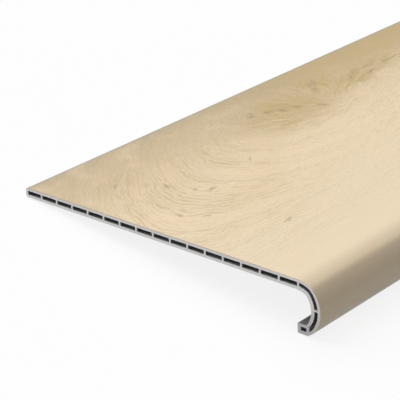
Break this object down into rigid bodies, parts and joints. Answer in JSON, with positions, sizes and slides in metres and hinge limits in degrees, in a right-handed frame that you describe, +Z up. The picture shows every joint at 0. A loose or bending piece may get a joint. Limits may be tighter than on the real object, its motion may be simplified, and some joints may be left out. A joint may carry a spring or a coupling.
{
  "type": "stair tread cover",
  "caption": "Hollow-chamber stair tread cover, a flat board with a rounded nose that curls down to a small box foot, faced with a pale wood-grain film.",
  "frame": {"origin": "on the flat underside, at the middle of the tread's length and of its depth", "axes": "+X along the tread's length, -Y towards the nose, +Z up from the floor that the back edge and the foot stand on"},
  "size_m": [1, 0.3002, 0.0427],
  "materials": {
    "grey_profile": "extruded rigid plastic, light grey, sawn ends",
    "wood_decor": "printed film, pale maple figure, fine satin grain"
  },
  "bodies": {
    "root": {"hollow_profile": "grey_profile", "decor_film": "wood_decor"}
  },
  "joints": []
}
